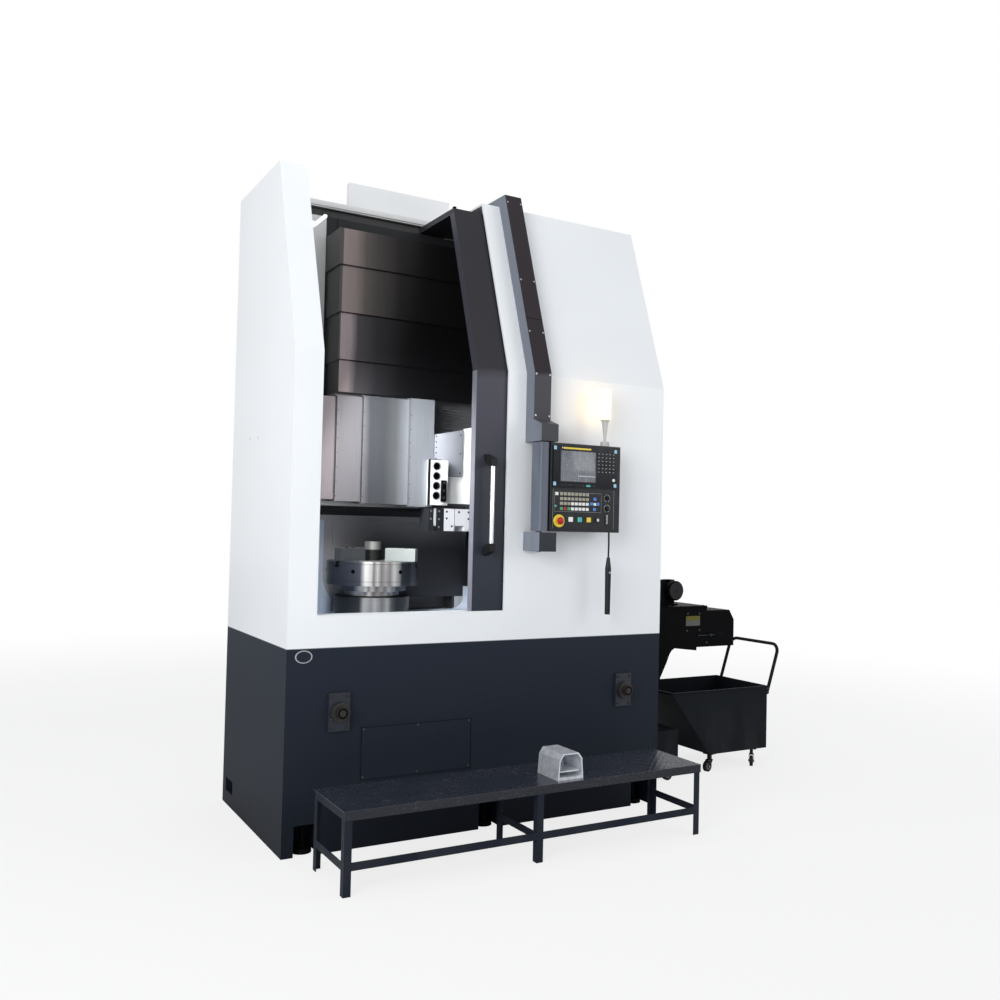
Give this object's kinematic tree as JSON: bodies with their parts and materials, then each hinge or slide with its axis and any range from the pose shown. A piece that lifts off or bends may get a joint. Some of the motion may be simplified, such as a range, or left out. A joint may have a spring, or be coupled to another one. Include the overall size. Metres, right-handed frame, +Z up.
{
  "type": "cnc vertical lathe",
  "caption": "Vertical turning lathe with sliding kinked door, climbing cross rail, chuck, swing pendant, chip conveyor with cart, step bench and foot switch.",
  "frame": {"origin": "on the floor below the spindle axis", "axes": "+Z up along the spindle axis, +Y from the front of the machine to its back, +X to the right for someone facing the door"},
  "size_m": [3.7067, 1.702, 3.65],
  "materials": {
    "black_oxide": "satin black",
    "black_plastic": "fine grained",
    "black_rubber": "matt",
    "bright_steel": "ground bright",
    "cast_silver": "cast and tumbled",
    "chrome": "polished",
    "dark_paint": "satin powder coat",
    "dark_steel": "oiled dark sheet",
    "door_paint": "satin powder coat",
    "frame_paint": "satin, worn",
    "grey_paint": "satin powder coat",
    "lamp_white": "lit lens on a white base",
    "machined_steel": "turned and ground",
    "red_plastic": "smooth",
    "stainless": "polished sheet with fine vertical brushing",
    "white_paint": "semi-gloss powder coat"
  },
  "bodies": {
    "housing": {"base_cover": "dark_paint", "levelling_feet": "black_oxide", "lift_brackets": "black_oxide", "left_wall": "white_paint", "sill_panel": "white_paint", "right_front_panel": "white_paint", "right_side_panel": "white_paint", "roof_panel": "white_paint", "inner_cabinet": "dark_paint", "rear_column": "dark_steel", "chip_tub": "grey_paint", "roof_beam": "dark_steel", "work_lamp": "lamp_white", "spindle_drum": "machined_steel", "z_cover_1": "dark_steel", "pendant_arm": "dark_paint", "conveyor_body": "black_oxide", "conveyor_motor": "black_oxide", "coolant_tank": "black_oxide", "casters": "black_rubber", "cart_bin": "black_oxide", "cart_handle": "black_oxide", "bench_tread": "frame_paint", "bench_frame": "frame_paint", "foot_switch_guard": "cast_silver"},
    "door": {"door_panel": "door_paint", "door_handle": "chrome"},
    "rail": {"cross_rail": "dark_steel", "z_cover_4": "dark_steel", "x_cover_1": "stainless"},
    "upper_cover": {"z_cover_2": "dark_steel"},
    "middle_cover": {"z_cover_3": "dark_steel"},
    "inner_side_cover": {"x_cover_2": "stainless"},
    "outer_side_cover": {"x_cover_3": "stainless"},
    "tool_slide": {"tool_head": "bright_steel", "tool_block": "bright_steel", "tool_holders": "bright_steel", "x_cover_4": "stainless"},
    "chuck": {"chuck_body": "machined_steel"},
    "jaw_a": {"chuck_jaw_1": "bright_steel"},
    "jaw_b": {"chuck_jaw_2": "machined_steel"},
    "jaw_c": {"chuck_jaw_3": "machined_steel"},
    "pendant": {"swivel_column": "dark_paint", "pendant_box": "black_plastic", "signal_lamp": "lamp_white", "hand_unit": "black_plastic", "hand_unit_cord": "black_rubber"},
    "stop_button": {"emergency_button": "red_plastic"},
    "pedal": {"foot_pedal": "cast_silver"}
  },
  "joints": [
    {"name": "door_slide", "type": "slide", "parent": "housing", "child": "door", "axis": [-1, 0, 0], "range_m": [0, 0.886]},
    {"name": "rail_lift", "type": "slide", "parent": "housing", "child": "rail", "axis": [0, 0, 1], "range_m": [-0.05, 0.5]},
    {"name": "upper_cover_lift", "type": "slide", "parent": "housing", "child": "upper_cover", "axis": [0, 0, 1], "range_m": [-0.017, 0.167]},
    {"name": "middle_cover_lift", "type": "slide", "parent": "housing", "child": "middle_cover", "axis": [0, 0, 1], "range_m": [-0.034, 0.334]},
    {"name": "tool_slide_x", "type": "slide", "parent": "rail", "child": "tool_slide", "axis": [-1, 0, 0], "range_m": [-0.05, 0.32]},
    {"name": "inner_side_cover_x", "type": "slide", "parent": "rail", "child": "inner_side_cover", "axis": [-1, 0, 0], "range_m": [-0.026, 0.161]},
    {"name": "outer_side_cover_x", "type": "slide", "parent": "rail", "child": "outer_side_cover", "axis": [-1, 0, 0], "range_m": [-0.038, 0.241]},
    {"name": "spindle_turn", "type": "hinge", "parent": "housing", "child": "chuck", "pos_m": [0, 0, 1.3], "axis": [0, 0, 1], "continuous": true},
    {"name": "jaw_a_grip", "type": "slide", "parent": "chuck", "child": "jaw_a", "axis": [0.766, -0.6428, 0], "range_m": [0, 0.012]},
    {"name": "jaw_b_grip", "type": "slide", "parent": "chuck", "child": "jaw_b", "axis": [0.1736, 0.9848, 0], "range_m": [0, 0.012]},
    {"name": "jaw_c_grip", "type": "slide", "parent": "chuck", "child": "jaw_c", "axis": [-0.9397, -0.342, 0], "range_m": [0, 0.012]},
    {"name": "pendant_swing", "type": "hinge", "parent": "housing", "child": "pendant", "pos_m": [0.659, -0.732, 1.836], "axis": [0, 0, -1], "range_deg": [0, 95]},
    {"name": "stop_press", "type": "slide", "parent": "pendant", "child": "stop_button", "axis": [0, 1, 0], "range_m": [0, 0.006]},
    {"name": "pedal_press", "type": "hinge", "parent": "housing", "child": "pedal", "pos_m": [0.6, -1.037, 0.4043], "axis": [1, 0, 0], "range_deg": [0, 8], "stiffness_Nm_per_rad": 20}
  ],
  "couplings": [
    {"joint": "upper_cover_lift", "follows": "rail_lift", "ratio": 0.3333},
    {"joint": "middle_cover_lift", "follows": "rail_lift", "ratio": 0.6667},
    {"joint": "inner_side_cover_x", "follows": "tool_slide_x", "ratio": 0.5},
    {"joint": "outer_side_cover_x", "follows": "tool_slide_x", "ratio": 0.75},
    {"joint": "jaw_b_grip", "follows": "jaw_a_grip", "ratio": 1},
    {"joint": "jaw_c_grip", "follows": "jaw_a_grip", "ratio": 1}
  ]
}
